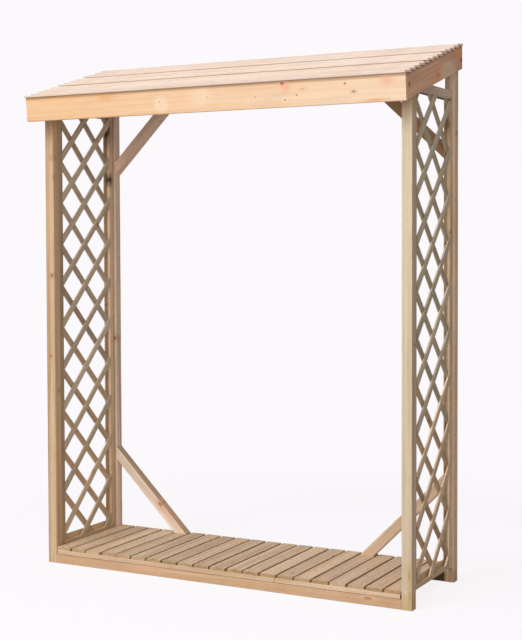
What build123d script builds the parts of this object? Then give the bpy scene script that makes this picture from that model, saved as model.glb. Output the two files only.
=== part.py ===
"""Log store: four posts, a slatted floor, lattice sides, an open back with corner braces and a lapped roof."""
import os
from math import ceil, cos, radians, sin, sqrt, tan

from build123d import *

os.makedirs("parts", exist_ok=True)

# Overall sizes in mm. X runs along the front, Y to the back, Z up from the ground.
overall_height = 1946.0
width_over_posts = 1500.0
depth_over_posts = 456.0
eave_overhang = 108.0
roof_pitch = 16.5

# Framing timber.
post_size = 38.0
arris = 1.5
top_rail_height = 38.0
rear_rail_height = 90.0
brace_size = 38.0
brace_reach = 327.0

# Floor.
bottom_rail_height = 36.0
batten_thickness = 15.0
batten_end_gap = 5.0
slat_count = 21
slat_width = 60.0
slat_thickness = 12.0
slat_end_gap = 2.0
slat_arris = 1.0

# Rebated side frames and their lattice.
frame_bottom = 56.0
frame_top_drop = 29.0
frame_recess = 9.0
frame_thickness = 15.0
flange_thickness = 4.0
flange_width = 21.0
stile_width = 28.0
rail_height = 17.0
head_height = 33.0
head_lip = 5.0
lath_width = 21.0
lath_bays = 2
lath_overrun = 0.6
lath_crossing_rise = 1179.0
lath_angle = 45.0

# Fascia, bargeboards and roof boards.
board_width = 80.0
board_thickness = 14.0
fascia_height = 82.0
fascia_setback = 10.0
fascia_lean = 5.5
roof_board_thickness = 7.0
roof_board_exposure = 44.2
roof_board_lap = 13.3
roof_board_seat = 0.8
roof_end_overhang = 2.0

# Roof section: u runs up the slope from the eave, w stands square to it.
pitch_rise = sin(radians(roof_pitch))
pitch_run = cos(radians(roof_pitch))
pitch_grade = tan(radians(roof_pitch))
roof_board_length = roof_board_exposure + roof_board_lap
roof_board_grade = roof_board_thickness / roof_board_exposure
roof_board_lift = roof_board_length * roof_board_grade - roof_board_seat
roof_board_crest = roof_board_lift + roof_board_thickness
covered_slope = (eave_overhang + depth_over_posts - roof_board_crest * pitch_rise) / pitch_run
roof_board_count = ceil((covered_slope - roof_board_lap) / roof_board_exposure)
slope_length = roof_board_count * roof_board_exposure + roof_board_lap
overall_depth = slope_length * pitch_run + roof_board_crest * pitch_rise
ridge_lift = roof_board_thickness - roof_board_seat
slope_start = (
    -overall_depth / 2 + roof_board_crest * pitch_rise,
    overall_height - slope_length * pitch_rise - ridge_lift * pitch_run,
)
roof_plane = Plane(origin=(0, slope_start[0], slope_start[1]), z_dir=(0, -pitch_rise, pitch_run))

# Lines the framing is set out from.
half_width = width_over_posts / 2
half_bay = half_width - post_size
front_face = -overall_depth / 2 + eave_overhang
rear_face = front_face + depth_over_posts
front_inner = front_face + post_size
rear_inner = rear_face - post_size
batten_top = bottom_rail_height + batten_thickness
floor_top = batten_top + slat_thickness
roof_half_length = half_width + board_thickness + roof_end_overhang


def roof_point(u, w):
    """Turn a place on the roof section into a Y, Z pair."""
    return (
        slope_start[0] + u * pitch_run - w * pitch_rise,
        slope_start[1] + u * pitch_rise + w * pitch_run,
    )


def slope_height(y):
    """Height of the seat of the roof boards at a given Y."""
    return slope_start[1] + (y - slope_start[0]) * pitch_grade


def save(label, solid):
    """Name a finished piece and write it to its own file."""
    solid.part.label = label
    export_step(solid.part, f"parts/{label}.step")


def timber(label, low, high, grain, ease=arris, under_roof=False):
    """Make one straight bar between two corners, with eased long edges."""
    size = [b - a for a, b in zip(low, high)]
    middle = tuple((a + b) / 2 for a, b in zip(low, high))
    with BuildPart() as bar:
        with Locations(middle):
            Box(*size)
        chamfer(bar.edges().filter_by(grain), ease)
        if under_roof:
            split(bisect_by=roof_plane, keep=Keep.BOTTOM)
    save(label, bar)


def profile(label, plane, points, half_length, ease=0):
    """Make one piece from an outline run both ways from a plane, with its four long edges eased."""
    with BuildPart() as piece:
        with BuildSketch(plane):
            with BuildLine():
                Polyline(*points, close=True)
            make_face()
        extrude(amount=half_length, both=True)
        if ease:
            chamfer(piece.edges().sort_by(SortBy.LENGTH)[-4:], ease)
    save(label, piece)


# Posts, cut off under the roof boards.
for side, x in (("left", -half_width), ("right", half_bay)):
    for place, y in (("front", front_face), ("rear", rear_inner)):
        timber(
            f"{place}_{side}_post",
            (x, y, 0),
            (x + post_size, y + post_size, overall_height),
            Axis.Z,
            under_roof=True,
        )

# Rails between the posts.
front_rail_top = slope_height(front_face)
rear_rail_top = slope_height(rear_inner)
rear_rail_bottom = rear_rail_top - rear_rail_height
rails = {
    "front_bottom_rail": (front_face, 0, bottom_rail_height),
    "rear_bottom_rail": (rear_inner, 0, bottom_rail_height),
    "front_top_rail": (front_face, front_rail_top - top_rail_height, front_rail_top),
    "rear_top_rail": (rear_inner, rear_rail_bottom, rear_rail_top),
}
for label, (y, low, high) in rails.items():
    timber(label, (-half_bay, y, low), (half_bay, y + post_size, high), Axis.X)

# Floor battens on the bottom rails, one more at mid depth, and the slats across them.
batten_half = half_bay - batten_end_gap
battens = {
    "front_floor_batten": front_face,
    "middle_floor_batten": (front_face + rear_face - post_size) / 2,
    "rear_floor_batten": rear_inner,
}
for label, y in battens.items():
    timber(
        label,
        (-batten_half, y, bottom_rail_height),
        (batten_half, y + post_size, batten_top),
        Axis.X,
        ease=slat_arris,
    )

slat_span = 2 * (half_bay - slat_end_gap) - slat_width
slat_pitch = slat_span / (slat_count - 1)
with BuildPart() as floor_slats:
    with Locations((0, (front_face + rear_face) / 2, (batten_top + floor_top) / 2)):
        with GridLocations(slat_pitch, 0, slat_count, 1):
            Box(slat_width, depth_over_posts, slat_thickness)
    chamfer(floor_slats.edges().filter_by(Axis.Y), slat_arris)
save("floor_slats", floor_slats)

# Side frames. Both are the same hand: set back from the right faces of their posts, rebated on the right,
# with a deeper face and a narrower lip at the head.
frame_inset = post_size - frame_recess - frame_thickness
frame_top = slope_height(front_face) - frame_top_drop
flange_low = frame_bottom + rail_height
flange_high = frame_top - head_height
opening_low = flange_low + flange_width
opening_high = flange_high - head_lip
body_front = front_inner + stile_width
body_rear = rear_inner - stile_width


def rebated(label, body_low, body_high, lip_low, lip_high):
    """Make a frame member from its thick body and the thin lip the laths lie on."""
    with BuildPart() as member:
        for low, high in ((body_low, body_high), (lip_low, lip_high)):
            with Locations(tuple((a + b) / 2 for a, b in zip(low, high))):
                Box(*[b - a for a, b in zip(low, high)])
    save(label, member)


def side_frame(side, x):
    """Make the two stiles and two rails of one side frame whose left face is at x."""
    lip_x = x + flange_thickness
    body_x = x + frame_thickness
    stiles = {
        "front": (front_inner, body_front, body_front, body_front + flange_width),
        "rear": (body_rear, rear_inner, body_rear - flange_width, body_rear),
    }
    for place, (y0, y1, lip0, lip1) in stiles.items():
        rebated(
            f"{side}_{place}_stile",
            (x, y0, frame_bottom),
            (body_x, y1, frame_top),
            (x, lip0, opening_low),
            (lip_x, lip1, opening_high),
        )
    bars = {
        "bottom": (frame_bottom, flange_low, flange_low, opening_low),
        "top": (flange_high, frame_top, opening_high, flange_high),
    }
    for place, (z0, z1, lip0, lip1) in bars.items():
        rebated(
            f"{side}_{place}_rail",
            (x, body_front, z0),
            (body_x, body_rear, z1),
            (x, body_front, lip0),
            (lip_x, body_rear, lip1),
        )


def lattice(label, x):
    """Make the crossed laths in one rebate, fused where they cross, with whole bays between its sides."""
    lath_thickness = (frame_thickness - flange_thickness) / 2
    width = body_rear - body_front
    height = flange_high - flange_low
    centre_y = (body_front + body_rear) / 2
    centre_z = (flange_low + flange_high) / 2
    rise = frame_bottom + lath_crossing_rise - centre_z
    step = (width + 2 * lath_overrun) / lath_bays * tan(radians(lath_angle))
    reach = int((height / 2 + width) / step) + 2
    long_enough = 2 * (width + height)
    with BuildPart() as sheet:
        for layer, turn in enumerate((-lath_angle, lath_angle)):
            base = x + flange_thickness + layer * lath_thickness
            level = Plane(origin=(base, centre_y, centre_z), x_dir=(0, 1, 0), z_dir=(1, 0, 0))
            with BuildSketch(level):
                with Locations(*[(0, rise + k * step) for k in range(-reach, reach + 1)]):
                    Rectangle(long_enough, lath_width, rotation=turn)
                Rectangle(width, height, mode=Mode.INTERSECT)
            extrude(amount=lath_thickness)
    save(label, sheet)


for side, post_x in (("left", -half_width), ("right", half_bay)):
    side_frame(side, post_x + frame_inset)
    lattice(f"{side}_lattice", post_x + frame_inset)

# Corner braces in the plane of the rear posts.
rear_middle = (rear_inner + rear_face) / 2
brace_plane = Plane(origin=(0, rear_middle, 0), x_dir=(1, 0, 0), z_dir=(0, -1, 0))
brace_cut = brace_size * sqrt(2)
for side, hand in (("left", -1), ("right", 1)):
    for place, seat, turn in (("bottom", floor_top, 1), ("top", rear_rail_bottom, -1)):
        outline = [
            (hand * half_bay, seat + turn * brace_reach),
            (hand * half_bay, seat + turn * (brace_reach - brace_cut)),
            (hand * (half_bay - brace_reach + brace_cut), seat),
            (hand * (half_bay - brace_reach), seat),
        ]
        profile(f"{place}_{side}_brace", brace_plane, outline, post_size / 2, arris)

# Fascia, leaning out at its top and cut to the underside of the lowest roof board.
eave = roof_point(0, roof_board_lift)
toe = roof_point(roof_board_length - roof_board_seat / roof_board_grade, 0)
eave_grade = (toe[1] - eave[1]) / (toe[0] - eave[0])
lean_grade = tan(radians(fascia_lean))
fascia_front = -overall_depth / 2 + fascia_setback
fascia_back = fascia_front + board_thickness
fascia_top = eave[1] + (fascia_front - eave[0]) * eave_grade
fascia_back_top = eave[1] + (fascia_back - eave[0]) * eave_grade
fascia_shift = fascia_height * lean_grade
fascia_bottom = fascia_top - fascia_height
profile(
    "front_fascia",
    Plane.YZ,
    [
        (fascia_front, fascia_top),
        (fascia_back, fascia_back_top),
        (fascia_back + fascia_shift, fascia_bottom),
        (fascia_front + fascia_shift, fascia_bottom),
    ],
    half_width + board_thickness,
    arris,
)

# Bargeboards on the outer faces of the posts, from the back of the fascia to the rear faces.
back_grade = fascia_shift / (fascia_back_top - fascia_bottom)


def behind_fascia(drop):
    """Find where the back of the fascia meets the line a plumb drop below the roof boards."""
    rise = fascia_back_top - slope_height(0) + drop
    y = (fascia_back + rise * back_grade) / (1 + back_grade * pitch_grade)
    return (y, slope_height(y) - drop)


barge_drop = board_width / pitch_run
barge_outline = [
    behind_fascia(0),
    (rear_face, slope_height(rear_face)),
    (rear_face, slope_height(rear_face) - barge_drop),
    behind_fascia(barge_drop),
]
for side, hand in (("left", -1), ("right", 1)):
    outer = Plane.YZ.offset(hand * (half_width + board_thickness / 2))
    profile(f"{side}_bargeboard", outer, barge_outline, board_thickness / 2, arris)

# Middle rafter between the top rails.
rafter_drop = post_size / pitch_run
profile(
    "middle_rafter",
    Plane.YZ,
    [
        (front_inner, slope_height(front_inner)),
        (rear_inner, slope_height(rear_inner)),
        (rear_inner, slope_height(rear_inner) - rafter_drop),
        (front_inner, slope_height(front_inner) - rafter_drop),
    ],
    post_size / 2,
    arris,
)

# Lapped roof boards, each resting on the one below and seated at its upper edge.
for number in range(roof_board_count):
    start = number * roof_board_exposure
    end = start + roof_board_length
    section = [
        roof_point(start, roof_board_lift),
        roof_point(start, roof_board_crest),
        roof_point(end, ridge_lift),
        roof_point(end, 0),
        roof_point(end - roof_board_seat / roof_board_grade, 0),
    ]
    profile(f"roof_board_{number + 1:02d}", Plane.YZ, section, roof_half_length)
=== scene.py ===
"""Log store in softwood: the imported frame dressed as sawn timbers, with camera, light and floor."""

import logging
import math
import random
from dataclasses import dataclass, field, replace
from enum import Enum
from typing import Any, Iterable, Sequence

import bmesh
import bpy
from mathutils import Matrix, Vector, noise


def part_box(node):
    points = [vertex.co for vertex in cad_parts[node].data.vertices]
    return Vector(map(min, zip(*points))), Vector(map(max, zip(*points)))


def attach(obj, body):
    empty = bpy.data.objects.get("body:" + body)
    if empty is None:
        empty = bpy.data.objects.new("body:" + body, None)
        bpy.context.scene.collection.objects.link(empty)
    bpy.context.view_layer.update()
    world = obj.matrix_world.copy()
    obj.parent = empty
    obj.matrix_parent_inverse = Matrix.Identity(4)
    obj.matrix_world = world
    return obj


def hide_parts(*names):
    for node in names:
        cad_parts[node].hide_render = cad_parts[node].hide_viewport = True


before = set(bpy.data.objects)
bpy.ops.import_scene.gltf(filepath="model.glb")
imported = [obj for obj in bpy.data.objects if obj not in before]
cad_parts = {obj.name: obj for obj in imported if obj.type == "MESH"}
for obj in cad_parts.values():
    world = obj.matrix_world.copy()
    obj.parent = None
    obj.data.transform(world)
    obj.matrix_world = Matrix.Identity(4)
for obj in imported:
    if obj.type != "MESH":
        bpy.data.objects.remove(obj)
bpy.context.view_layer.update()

LOG = logging.getLogger("log_store")
BODY = "root"
SEED = 21
STRAIGHT = 1e-9

Colour = tuple[float, float, float]
Screen = tuple[int, int, int]
Point = tuple[float, float]
Triple = tuple[float, float, float]
Facing = tuple[Vector, Vector]
Source = Any
Socket = bpy.types.NodeSocket

SIDEWAYS = Vector((1, 0, 0))
BACKWARDS = Vector((0, 1, 0))
UPWARDS = Vector((0, 0, 1))

KNOT_BROWN = (96, 58, 34)
KNOT_RIM = (206, 150, 106)


def linear(screen: Screen) -> Colour:
    """Turn a colour as a screen shows it, from 0 to 255, into the linear one that shaders take."""
    shares = (channel / 255 for channel in screen)
    return tuple(s / 12.92 if s <= 0.04045 else ((s + 0.055) / 1.055) ** 2.4 for s in shares)


class Slot(Enum):
    """The record's material slots."""

    FRAME = "frame_timber"
    FLOOR = "floor_timber"
    LATTICE = "lattice_timber"
    TRIM = "trim_timber"
    ROOF = "roof_timber"


class Trait(Enum):
    """What each point or face of a timber knows about itself, for the shaders to read."""

    GRAIN = "grain"
    STICK = "stick"
    ARRIS = "arris"
    SAWN = "sawn"


@dataclass(frozen=True)
class Patches:
    """Soft noise with its contrast raised, so that it shows as patches."""

    stretch: Triple
    low: float
    high: float
    detail: float = 2.0


class Wiring:
    """Adds nodes to one tree and joins them, so that a finish reads as a few sums."""

    NOISE_ROUGHNESS = 0.55

    def __init__(self, tree: bpy.types.NodeTree) -> None:
        """Keep the tree that the nodes go into."""
        self.tree = tree

    def feed(self, socket: Socket, source: Source) -> None:
        """Link an input to an output, or set its value.

        Args:
            socket: The input to fill.
            source: An output socket, a number, a vector or a colour.
        """
        if isinstance(source, Socket):
            self.tree.links.new(source, socket)
        elif socket.type == "RGBA":
            socket.default_value = (*source, 1.0)
        else:
            socket.default_value = source

    def node(self, kind: str, inputs: dict[Any, Source] | None = None,
             **settings: Any) -> bpy.types.Node:
        """Add one node.

        Args:
            kind: Blender's name for the node type.
            inputs: What goes into its inputs, by name or number.
            **settings: Properties set before the inputs are filled.

        Returns:
            The new node.
        """
        node = self.tree.nodes.new(kind)
        for name, value in settings.items():
            setattr(node, name, value)
        for key, source in (inputs or {}).items():
            self.feed(node.inputs[key], source)
        return node

    def math(self, operation: str, first: Source, second: Source = 0.0) -> Socket:
        """Return the result of one sum on numbers."""
        return self.node("ShaderNodeMath", {0: first, 1: second}, operation=operation).outputs[0]

    def times(self, first: Source, second: Source) -> Socket:
        """Return one number times another."""
        return self.math("MULTIPLY", first, second)

    def vector(self, operation: str, first: Source, second: Source,
               output: str = "Vector") -> Socket:
        """Return the result of one sum on vectors."""
        inputs = {0: first, 1: second}
        return self.node("ShaderNodeVectorMath", inputs, operation=operation).outputs[output]

    def length(self, vector: Source) -> Socket:
        """Return how long a vector is."""
        return self.node("ShaderNodeVectorMath", {0: vector}, operation="LENGTH").outputs["Value"]

    def parts(self, vector: Source) -> Any:
        """Return the three parts of a vector."""
        return self.node("ShaderNodeSeparateXYZ", {0: vector}).outputs

    def chance(self, number: Source) -> Any:
        """Return a chance value and a chance colour that hang on one number."""
        return self.node("ShaderNodeTexWhiteNoise", {"W": number}, noise_dimensions="1D").outputs

    def span(self, value: Source, low: float, high: float, start: float = 0.0,
             end: float = 1.0) -> Socket:
        """Ease a value that runs from low to high into one that runs from start to end."""
        inputs = {0: value, 1: low, 2: high, 3: start, 4: end}
        return self.node("ShaderNodeMapRange", inputs, interpolation_type="SMOOTHSTEP").outputs[0]

    def cloud(self, place: Source, stretch: Sequence[float], detail: float = 2.0) -> Socket:
        """Make soft noise, finer along the axes that are stretched more.

        Args:
            place: The vector that the noise is read at, in metres.
            stretch: Features per metre along each axis.
            detail: How many finer layers are added.

        Returns:
            A value around one half.
        """
        inputs = {"Vector": self.vector("MULTIPLY", place, stretch), "Scale": 1.0,
                  "Detail": detail, "Roughness": self.NOISE_ROUGHNESS}
        return self.node("ShaderNodeTexNoise", inputs).outputs[0]

    def patches(self, place: Source, patches: Patches) -> Socket:
        """Return 1 where patches of noise lie and 0 between them."""
        cloud = self.cloud(place, patches.stretch, patches.detail)
        return self.span(cloud, patches.low, patches.high)

    def inside(self, reach: Source, limits: Point) -> Socket:
        """Return 1 up to the first limit, and less and less from there to 0 at the second."""
        return self.span(reach, *limits, 1.0, 0.0)

    def blend(self, factor: Source, below: Source, above: Source, mode: str = "MIX") -> Socket:
        """Lay one colour over another, as far as the factor says."""
        inputs = {0: factor, 6: below, 7: above}
        return self.node("ShaderNodeMix", inputs, data_type="RGBA", blend_type=mode).outputs[2]

    def glow(self, kind: str, colour: Source, strength: float) -> Socket:
        """Return the light of a background or of a glowing face."""
        return self.node(kind, {"Color": colour, "Strength": strength}).outputs[0]

    def mix(self, factor: Source, first: Source, second: Source) -> Socket:
        """Return a mix of two shaders."""
        return self.node("ShaderNodeMixShader", {0: factor, 1: first, 2: second}).outputs[0]

    def trait(self, trait: Trait, output: str = "Fac") -> Socket:
        """Return a timber's own attribute."""
        return self.node("ShaderNodeAttribute", attribute_name=trait.value).outputs[output]

    def group(self, effect: "Effect", inputs: dict[str, Source]) -> Any:
        """Place an effect, fill its inputs and return its outputs."""
        return self.node("ShaderNodeGroup", inputs, node_tree=effect.tree).outputs


def new_material(name: str) -> tuple[bpy.types.Material, Wiring]:
    """Start a material with nodes.

    Args:
        name: The material's name.

    Returns:
        The material and the wiring of its tree.
    """
    made = bpy.data.materials.new(name)
    made.use_nodes = True
    return made, Wiring(made.node_tree)


def set_out(name: str, data: bpy.types.ID) -> bpy.types.Object:
    """Make an object and link it to the scene.

    Args:
        name: The object's name.
        data: Its mesh, light or camera.

    Returns:
        The object.
    """
    made = bpy.data.objects.new(name, data)
    bpy.context.scene.collection.objects.link(made)
    return made


def skin(made: bmesh.types.BMesh, loops: list[list[bmesh.types.BMVert]]) -> None:
    """Join a row of closed loops with faces.

    Args:
        made: The mesh.
        loops: The loops, which have as many corners each.
    """
    for low, high in zip(loops, loops[1:]):
        for k in range(len(low)):
            n = (k + 1) % len(low)
            made.faces.new((low[k], low[n], high[n], high[k]))


class Effect:
    """A shader node group with named inputs and outputs, built once and placed in many finishes."""

    KINDS = {"float": "NodeSocketFloat", "vector": "NodeSocketVector"}

    def __init__(self, name: str, inputs: dict[str, str], outputs: Iterable[str]) -> None:
        """Make the empty group and its sockets.

        Args:
            name: The group's name.
            inputs: Each input's name and kind.
            outputs: The names of the values it puts out.
        """
        self.tree = bpy.data.node_groups.new(name, "ShaderNodeTree")
        for label, kind in inputs.items():
            self.tree.interface.new_socket(label, in_out="INPUT", socket_type=self.KINDS[kind])
        for label in outputs:
            self.tree.interface.new_socket(label, in_out="OUTPUT", socket_type=self.KINDS["float"])
        self.wiring = Wiring(self.tree)
        self.given = self.tree.nodes.new("NodeGroupInput").outputs
        self.put_out = self.tree.nodes.new("NodeGroupOutput").inputs

    def give(self, label: str, source: Socket) -> None:
        """Join a result to one of the group's outputs."""
        self.wiring.feed(self.put_out[label], source)


class TimberGrain(Effect):
    """Growth rings about a heart beside each stick, with streaks, patches, flecks and fibre."""

    HEART_SPREAD = (9.0, 0.16, 0.16)
    WAVER = 0.022
    WAVER_STRETCH = (1.1, 11.0, 11.0)
    TAPER = 0.006
    RING_EDGE = 1.8
    FIBRE_STRETCH = (9.0, 520.0, 520.0)
    BROAD = Patches((0.7, 36.0, 36.0), 0.37, 0.64)
    BROAD_SHARE = 0.55
    THIN = Patches((1.7, 125.0, 125.0), 0.38, 0.64)
    MOTTLE = Patches((2.4, 13.0, 13.0), 0.42, 0.68, 3.0)
    FLECKS = Patches((45.0, 260.0, 260.0), 0.56, 0.7)

    def __init__(self) -> None:
        """Build the group."""
        inputs = {"Place": "vector", "Stick": "float", "Ring Width": "float"}
        super().__init__("timber_grain", inputs, ("Rings", "Fibre", "Streaks", "Mottle", "Flecks"))
        w, given = self.wiring, self.given
        chance = w.chance(given["Stick"])["Color"]
        evened = w.vector("SUBTRACT", chance, (0.5, 0.5, 0.5))
        heart = w.vector("MULTIPLY", evened, self.HEART_SPREAD)
        place = w.vector("ADD", given["Place"], heart)
        along, across, through = w.parts(place)
        square = w.math("ADD", w.math("POWER", across, 2.0), w.math("POWER", through, 2.0))
        waver = w.times(w.cloud(place, self.WAVER_STRETCH, 1.0), self.WAVER)
        bent = w.math("ADD", w.math("SQRT", square), waver)
        radius = w.math("ADD", bent, w.times(along, self.TAPER))
        turn = w.math("FRACT", w.math("DIVIDE", radius, given["Ring Width"]))
        self.give("Rings", w.math("POWER", turn, self.RING_EDGE))
        self.give("Fibre", w.cloud(place, self.FIBRE_STRETCH, 3.0))
        broad = w.times(w.patches(place, self.BROAD), self.BROAD_SHARE)
        thin = w.times(w.patches(place, self.THIN), 1 - self.BROAD_SHARE)
        self.give("Streaks", w.math("ADD", broad, thin))
        self.give("Mottle", w.patches(place, self.MOTTLE))
        self.give("Flecks", w.patches(place, self.FLECKS))


class ScatteredKnots(Effect):
    """Scattered knots, of which a face shows those that it cuts through."""

    STICK_STEP = 37.0
    SCATTER = 0.9
    RAGGED = 0.55
    RAGGED_MEAN = 0.27
    RAGGED_STRETCH = (60.0, 160.0, 160.0)
    CORE = (0.7, 1.1)
    HALO = (0.8, 3.2)

    def __init__(self) -> None:
        """Build the group."""
        numbers = dict.fromkeys(("Stick", "Spacing", "Radius", "Share"), "float")
        super().__init__("scattered_knots", {"Place": "vector"} | numbers, ("KnotAndShade", "Halo"))
        w, given = self.wiring, self.given
        step = w.times(given["Stick"], self.STICK_STEP)
        shift = w.node("ShaderNodeCombineXYZ", {0: step}).outputs[0]
        place = w.vector("ADD", given["Place"], shift)
        inputs = {0: place, 3: w.math("DIVIDE", 1.0, given["Spacing"])}
        cells = w.node("ShaderNodeVectorMath", inputs, operation="SCALE").outputs[0]
        inputs = {"Vector": cells, "Scale": 1.0, "Randomness": self.SCATTER}
        cell = w.node("ShaderNodeTexVoronoi", inputs).outputs
        away = w.math("DIVIDE", w.times(cell["Distance"], given["Spacing"]), given["Radius"])
        ragged = w.times(w.cloud(place, self.RAGGED_STRETCH), self.RAGGED)
        reach = w.math("SUBTRACT", away, w.math("SUBTRACT", ragged, self.RAGGED_MEAN))
        kept = w.math("LESS_THAN", w.parts(cell["Color"])[0], given["Share"])
        self.give("KnotAndShade", w.times(kept, w.inside(reach, self.CORE)))
        self.give("Halo", w.times(kept, w.inside(reach, self.HALO)))


class SingleKnotAndShade(Effect):
    """One knot at a chosen place, with a ragged rim; the same shape also lays spots of painted shade.
    """

    RAGGED = 0.6
    RAGGED_MEAN = 0.3
    RAGGED_STRETCH = (70.0, 150.0, 150.0)
    CORE = (0.65, 1.1)
    HALO = (0.9, 3.0)

    def __init__(self) -> None:
        """Build the group."""
        inputs = dict.fromkeys(("Place", "Centre", "Size"), "vector")
        super().__init__("single_knot_and_shade", inputs, ("KnotAndShade", "Halo"))
        w, given = self.wiring, self.given
        offset = w.vector("SUBTRACT", given["Place"], given["Centre"])
        away = w.length(w.vector("DIVIDE", offset, given["Size"]))
        ragged = w.times(w.cloud(given["Place"], self.RAGGED_STRETCH), self.RAGGED)
        reach = w.math("ADD", w.math("SUBTRACT", away, ragged), self.RAGGED_MEAN)
        self.give("KnotAndShade", w.inside(reach, self.CORE))
        self.give("Halo", w.inside(reach, self.HALO))


class EdgeWear(Effect):
    """Broken wear along the arrises and dirt that gathers in patches."""

    BROKEN = Patches((14.0, 40.0, 40.0), 0.4, 0.62, 3.0)
    GRIME = Patches((5.0, 24.0, 24.0), 0.5, 0.8, 4.0)

    def __init__(self) -> None:
        """Build the group."""
        super().__init__("edge_wear", {"Place": "vector", "Arris": "float"}, ("Worn", "Grime"))
        w, given = self.wiring, self.given
        self.give("Worn", w.times(w.patches(given["Place"], self.BROKEN), given["Arris"]))
        self.give("Grime", w.patches(given["Place"], self.GRIME))


@dataclass(frozen=True)
class Effects:
    """The effects that the timbers share, each built once."""

    grain: Effect = field(default_factory=TimberGrain)
    knots: Effect = field(default_factory=ScatteredKnots)
    spot: Effect = field(default_factory=SingleKnotAndShade)
    wear: Effect = field(default_factory=EdgeWear)


class Wood:
    """A timber's material in the making: its wiring, what it reads and its colour so far."""

    def __init__(self, name: str, effects: Effects, ground: Screen) -> None:
        """Start the material.

        Args:
            name: The material's name.
            effects: The shared effects.
            ground: The colour that everything else is laid over.
        """
        self.made, self.wiring = new_material(name)
        self.effects = effects
        self.place = self.wiring.trait(Trait.GRAIN, "Vector")
        self.stick = self.wiring.trait(Trait.STICK)
        self.colour: Source = linear(ground)

    def lay(self, share: Source, colour: Source, mode: str = "MIX") -> None:
        """Lay a linear colour over what is there."""
        self.colour = self.wiring.blend(share, self.colour, colour, mode)

    def stain(self, mask: Source, share: float, colour: Screen) -> None:
        """Lay a share of a screen colour where a mask shows."""
        self.lay(self.wiring.times(mask, share), linear(colour))


@dataclass(frozen=True)
class KnotAndShade:
    """One mark at a chosen place on a stick, measured in metres from its middle: a knot, a stain or a
    spot of painted shade.
    """

    along: float
    across: float
    half_length: float = 0.004
    half_width: float = 0.004
    core: Screen = KNOT_BROWN
    rim: Screen = KNOT_RIM
    core_share: float = 0.85
    rim_share: float = 0.4
    through: float = 0.0
    half_depth: float = 0.05

    def lay(self, wood: Wood) -> None:
        """Lay the knot and the stained wood round it over a timber, or a spot of painted shade.

        Args:
            wood: The timber's material.
        """
        inputs = {"Place": wood.place, "Centre": (self.along, self.across, self.through),
                  "Size": (self.half_length, self.half_width, self.half_depth)}
        found = wood.wiring.group(wood.effects.spot, inputs)
        wood.stain(found["Halo"], self.rim_share, self.rim)
        wood.stain(found["KnotAndShade"], self.core_share, self.core)


@dataclass(frozen=True)
class Drift:
    """A slow change of tone towards one end or one side of a stick: the wood's own tone on some
    finishes, painted light and shade on others.
    """

    tone: Colour
    towards: Triple
    start: float
    end: float

    def lay(self, wood: Wood) -> None:
        """Multiply a timber's colour by the tone, more and more from start to end."""
        reach = wood.wiring.vector("DOT_PRODUCT", wood.place, self.towards, "Value")
        wood.lay(wood.wiring.span(reach, self.start, self.end), self.tone, "MULTIPLY")


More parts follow.
